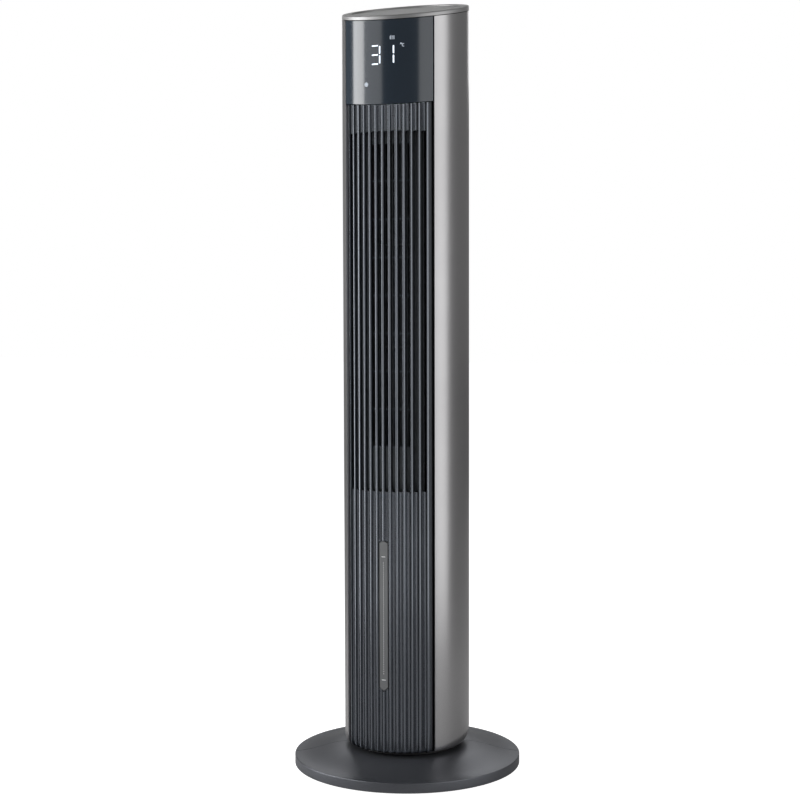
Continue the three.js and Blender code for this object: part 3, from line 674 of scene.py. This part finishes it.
# One half of the foot: its skin, two webs with a boss over each pad, and two round ribs
def footHalf(middle):
    f = foot
    gapAngle = np.degrees(f["split"] / (100 * mm))
    start, stop = middle - 90 + gapAngle, middle + 90 - gapAngle
    parts = [turnedMesh(footProfile(), 110, (start, stop))]
    boss = [(f["bossHole"], f["padTop"]), (f["bossRadius"], f["padTop"]), (f["bossRadius"], f["bossTop"]),
            (f["bossHole"], f["bossTop"])]
    for angle in (middle - 135, middle - 45):
        parts.append(footWeb(angle, *f["web"]))
        turn = np.radians(angle)
        centre = (f["padCircle"] * np.cos(turn), f["padCircle"] * np.sin(turn))
        parts.append(turnedMesh(boss, 40, centre=centre))
    for radius in f["ribs"]:
        inside, outside, top = radius - f["ribHalf"], radius + f["ribHalf"], ribTop(radius)
        rib = [(inside, f["padTop"]), (outside, f["padTop"]), (outside, top), (inside, top)]
        parts.append(turnedMesh(rib, 60, (start + 1, stop - 1)))
    return parts


# Two half discs with a fine split between them; the rear one has a web that closes the split from below
def buildFoot():
    front, rear = footHalf(foot["turn"]), footHalf(foot["turn"] + 180)
    rear += [footWeb(angle, *foot["splitWeb"]) for angle in (foot["turn"], foot["turn"] + 180)]
    for half, name, parts in (("front", "footFront", front), ("rear", "footRear", rear)):
        meshPiece(name, *joined(parts), "base", "base_grey", finish["foot"], (f"base_{half}_half",), 35,
                  foot["bevel"])


buildFoot()
print("foot made")


window = {
    "half": 6.0 * mm, "pointLow": 5 * mm, "pointHigh": 3.2 * mm, "face": 81.6 * mm, "inside": 78.8 * mm,
    "edge": 0.7 * mm, "gap": 0.3 * mm, "printProud": 0.06 * mm, "printSkin": 0.15 * mm,
    "printCorner": 0.07 * mm, "dotPitch": 3.0 * mm, "dot": (0.35 * mm, 1.1 * mm),   # half width, height
    "tick": (2.6 * mm, 0.9 * mm), "tickHigh": 287 * mm, "tickLow": 127 * mm,
    "dotsFrom": 8 * mm, "dotsTo": 6 * mm,              # room between the dots and the two tick marks
}


# The window's outline at a depth y: a strip with pointed ends, drawn in by inset
def windowOutline(inset, y):
    w = window
    low, high, half = windowLow.z + w["gap"], windowHigh.z - w["gap"], w["half"] - inset
    shoulderLow, shoulderHigh = low + w["pointLow"] + inset * 0.4, high - w["pointHigh"] - inset * 0.4
    return [(-half, y, shoulderLow), (0, y, low + inset * 1.3), (half, y, shoulderLow),
            (half, y, shoulderHigh), (0, y, high - inset * 1.2), (-half, y, shoulderHigh)]


# Water-level window: three outlines joined into a bevelled strip
def buildWindow():
    w = window
    sections = [windowOutline(0, -w["inside"]), windowOutline(0, -w["face"] + w["edge"]),
                windowOutline(w["edge"], -w["face"])]
    meshPiece("windowStrip", *loftMesh(np.array(sections)), "tower", "clear_plastic", finish["window"],
              ("window_lens",), 20)


# The print on it: a row of dots between two tick marks
def buildWindowMarks():
    w = window
    front = -w["face"] - w["printProud"]
    places = [(z, w["dot"]) for z in np.arange(w["tickLow"] + w["dotsFrom"], w["tickHigh"] - w["dotsTo"],
                                               w["dotPitch"])]
    places += [(z, w["tick"]) for z in (w["tickLow"], w["tickHigh"])]
    parts = [blockMesh((-half, front, z), (half, front + w["printSkin"], z + tall), w["printCorner"])
             for z, (half, tall) in places]
    meshPiece("windowMarks", *joined(parts), "tower", "white_plastic", finish["print"])


buildWindow()
buildWindowMarks()
print("window made")

rotor = {
    "blades": 36, "outer": 38 * mm, "inner": 30 * mm, "thick": 0.7 * mm, "sweep": 17.0, "bow": 7.0,
    "tipGap": 0.3 * mm, "discs": 4, "discThick": 2 * mm, "discEdge": 0.3 * mm, "hub": 4.1 * mm,
    "bladeInset": 0.5 * mm, "axisY": -4 * mm,
}


# A blade's outline: its middle line turns by sweep * t + bow * sin(pi t) while its radius runs from inner
# to outer, and half the thickness lies on each side of it
def bladeOutline(around):
    r = rotor
    t = np.linspace(0, 1, 7)
    radius = r["inner"] + (r["outer"] - r["tipGap"] - r["inner"]) * t
    turn = np.radians(r["sweep"] * t + r["bow"] * np.sin(np.pi * t)) + around
    half = r["thick"] / 2 / radius
    sides = [np.column_stack([radius * np.cos(angle), radius * np.sin(angle) + r["axisY"]])
             for angle in (turn + half, turn - half)]
    return np.concatenate([sides[0], sides[1][::-1]])


# Cross-flow wheel: upright blades between discs spaced evenly from end to end
def buildImpeller():
    r = rotor
    low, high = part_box("impeller")
    ends = (low.z + r["bladeInset"], high.z - r["bladeInset"])
    parts = []
    for blade in range(r["blades"]):
        loop = bladeOutline(2 * np.pi * blade / r["blades"])
        parts.append(loftMesh(np.array([np.column_stack([loop, np.full(len(loop), z)]) for z in ends])))
    spacing = (high.z - low.z - r["discThick"]) / (r["discs"] - 1)
    outer, edge, hub = r["outer"], r["discEdge"], r["hub"]
    for disc in range(r["discs"]):
        under = low.z + disc * spacing
        over = under + r["discThick"]
        profile = [(hub, under), (outer - edge, under), (outer, under + edge), (outer, over - edge),
                   (outer - edge, over), (hub, over)]
        parts.append(turnedMesh(profile, 96, centre=(0, r["axisY"])))
    meshPiece("fanWheel", *joined(parts), "rotor", "black_plastic", finish["inner"], ("impeller",), 35)


buildImpeller()
print("fan wheel made")


# sections as (radius, height) in millimetres
hardware = {
    "pad": [(0.3, 0), (7.3, 0), (8, 0.7), (8, 2.5), (7.5, 3), (0.3, 3)],
    "screw": [(0.2, 22.9), (1.6, 22.9), (1.6, 21.7), (3.6, 21.5), (4, 21.9), (4, 23.9), (3.7, 24.3),
              (2, 24.3), (2, 30.1), (0.2, 30.1)],
    "padSteps": 48, "screwSteps": 32,
}


# A section turned about the upright line through the middle of its CAD node
def turnedHardware(node, name, section, steps, slotName, material):
    low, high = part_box(node)
    centre = ((low.x + high.x) / 2, (low.y + high.y) / 2)
    mesh = turnedMesh(np.array(section) * mm, steps, centre=centre)
    meshPiece(name, *mesh, "base", slotName, material, (node,), 30)


# Feet, and the screws that hold the hub
def buildFootHardware():
    h = hardware
    for number in range(1, 5):
        turnedHardware(f"foot_{number}", f"footPad{number}", h["pad"], h["padSteps"], "rubber",
                       finish["rubber"])
        turnedHardware(f"base_screw_{number}", f"hubScrew{number}", h["screw"], h["screwSteps"], "steel",
                       finish["steel"])


buildFootHardware()
print("foot hardware made")

# Pieces made from their CAD nodes, with the facets merged and the edges rounded.
# node: (piece, finish, body, slot, bevel in millimetres)
plainPieces = {
    "swivel_hub": ("swivelHub", "black", "base", "black_plastic", 0.5),
    "swivel_washer": ("swivelWasher", "white", "base", "white_plastic", 0.2),
    "sector_gear": ("sectorGear", "white", "base", "white_plastic", 0.2),
    "hub_nut": ("hubNut", "black", "base", "black_plastic", 0.4),
    "swing_pinion": ("swingPinion", "white", "pinion", "white_plastic", 0.2),
    "bottom_pan": ("bottomPan", "black", "tower", "black_plastic", 0.3),
    "bay_deck": ("bayDeck", "black", "tower", "black_plastic", 0.4),
    "deck_plate": ("deckPlate", "black", "tower", "black_plastic", 0.4),
    "motor_plate": ("motorPlate", "black", "tower", "black_plastic", 0.4),
    "bearing_plate": ("bearingPlate", "black", "tower", "black_plastic", 0.4),
    "frame_rail_right": ("frameRailRight", "black", "tower", "black_plastic", 0.5),
    "frame_rail_left": ("frameRailLeft", "black", "tower", "black_plastic", 0.5),
    "swing_motor": ("swingMotor", "steel", "tower", "steel", 0.4),
    "fan_motor": ("fanMotor", "steel", "tower", "steel", 0.6),
    "top_bearing": ("topBearing", "bronze", "tower", "bronze", 0.3),
    "scroll_housing": ("scrollHousing", "inner", "tower", "dark_plastic", 0.3),
    "air_tongue": ("airTongue", "inner", "tower", "dark_plastic", 0.3),
    "outlet_frame": ("outletFrame", "inner", "tower", "dark_plastic", 0.4),
    "outlet_guard": ("outletGuard", "guard", "tower", "dark_plastic", 0.3),
    "display_board": ("displayBoard", "board", "tower", "circuit_board", 0.2),
    "digit_light_guide": ("digitLightGuide", "white", "tower", "white_plastic", 0.3),
    "control_board": ("controlBoard", "board", "tower", "circuit_board", 0.2),
    "rear_cover": ("rearCover", "rear", "tower", "dark_plastic", 0.35),
    "upper_back": ("upperBack", "rear", "tower", "dark_plastic", 0.35),
    "handle_cup": ("handleCup", "black", "tower", "black_plastic", 0.4),
    "rear_skirt": ("rearSkirt", "rear", "tower", "dark_plastic", 0.35),
    "cord_gland": ("cordGland", "rubber", "tower", "rubber", 0.5),
    **{f"rear_screw_{n}": (f"rearScrew{n}", "steel", "tower", "steel", 0.3) for n in range(1, 5)},
    "sump_tray": ("sumpTray", "white", "tower", "white_plastic", 0.4),
    "water_pump": ("waterPump", "black", "tower", "black_plastic", 0.6),
    "water_hose": ("waterHose", "hose", "tower", "clear_plastic", 0.0),
    "pad_frame": ("padFrame", "black", "tower", "black_plastic", 0.4),
    "cooling_pad": ("coolingPad", "pad", "tower", "pad_paper", 0.3),
    "drip_tray": ("dripTray", "white", "tower", "white_plastic", 0.4),
    "impeller_shaft": ("impellerShaft", "steel", "rotor", "steel", 0.3),
    "intake_grille": ("intakeGrille", "rear", "intake_cover", "dark_plastic", 0.35),
    "dust_filter": ("dustFilter", "net", "intake_cover", "filter_mesh", 0.1),
    "tank_body": ("tankBody", "tank", "tank", "tank_plastic", 0.6),
    "tank_door": ("tankDoor", "rear", "tank", "dark_plastic", 0.35),
    "tank_grip": ("tankGrip", "black", "tank", "black_plastic", 0.4),
}
for node, (piece, surface, bodyName, slotName, edge) in plainPieces.items():
    refined(node, piece, finish[surface], bodyName, slotName, edge * mm)
print("plain pieces made")

# each light: azimuth from the camera's own, height of its middle, width, height, radiance
studio = {
    "floor": 0.6, "floorGlow": 0.95, "floorHalf": 14, "sky": 1.0, "reflected": 0.2,
    "distance": 1.0, "backDistance": 2.4, "backAim": 0.2,
    "back": (175, 1.6, 1.8, 0.8, 2.2),
    "strips": {
        "leftStrip": (-91, 0.95, 0.5, 1.86, 5.4),
        "leftSoft": (-58, 0.95, 0.6, 1.86, 1.15),
        "rightSoft": (36, 0.95, 0.46, 1.86, 1.15),
        "rightStrip": (64, 0.95, 0.48, 1.86, 1.8),
    },
}


# A rectangular lamp aimed at the tower's axis; a radiance of L takes a power of L * pi * area
def softBox(name, azimuth, height, width, tall, radiance, distance, aimHeight):
    light = bpy.data.lights.new(name, "AREA")
    light.shape, light.size, light.size_y = "RECTANGLE", width, tall
    light.energy = radiance * np.pi * width * tall
    turn = np.radians(viewAzimuth + azimuth)
    lamp = bpy.data.objects.new(name, light)
    lamp.location = (distance * np.sin(turn), -distance * np.cos(turn), height)
    aim = Vector((0, 0, aimHeight)) - lamp.location
    lamp.rotation_euler = aim.to_track_quat("-Z", "Y").to_euler()
    scene.collection.objects.link(lamp)


# A pale floor: it glows to the camera, and to everything else it is plain and matt
def buildFloor():
    mesh = bpy.data.meshes.new("studioFloor")
    half = studio["floorHalf"]
    corners = [(-half, -half, 0), (half, -half, 0), (half, half, 0), (-half, half, 0)]
    mesh.from_pydata(corners, [], [(0, 1, 2, 3)])
    floor = bpy.data.objects.new("studioFloor", mesh)
    scene.collection.objects.link(floor)
    material, tree, shader = newMaterial("paleFloor")
    shade = studio["floor"]
    shader.inputs["Base Color"].default_value = (shade, shade, shade, 1)
    shader.inputs["Roughness"].default_value = 1.0
    shader.inputs["Specular IOR Level"].default_value = 0.0
    shader.inputs["Emission Color"].default_value = (1, 1, 1, 1)
    path = tree.nodes.new("ShaderNodeLightPath")
    glow = remap(tree, path.outputs["Is Camera Ray"], 0, studio["floorGlow"], 0, 1)
    tree.links.new(glow, shader.inputs["Emission Strength"])
    mesh.materials.append(material)


# White to the camera, and a dim grey to all that is lit or reflected
def buildSky():
    world = bpy.data.worlds.new("studioWorld")
    world.use_nodes = True
    scene.world = world
    tree = world.node_tree
    background = tree.nodes["Background"]
    path = tree.nodes.new("ShaderNodeLightPath")
    level = remap(tree, path.outputs["Is Camera Ray"], studio["reflected"], studio["sky"], 0, 1)
    tree.links.new(level, background.inputs["Strength"])
    background.inputs["Color"].default_value = (1, 1, 1, 1)


def buildLights():
    for name, (azimuth, height, *rest) in studio["strips"].items():
        softBox(name, azimuth, height, *rest, studio["distance"], height)
    softBox("backBox", *studio["back"], studio["backDistance"], studio["backAim"])


buildFloor()
buildSky()
buildLights()
print("studio made")
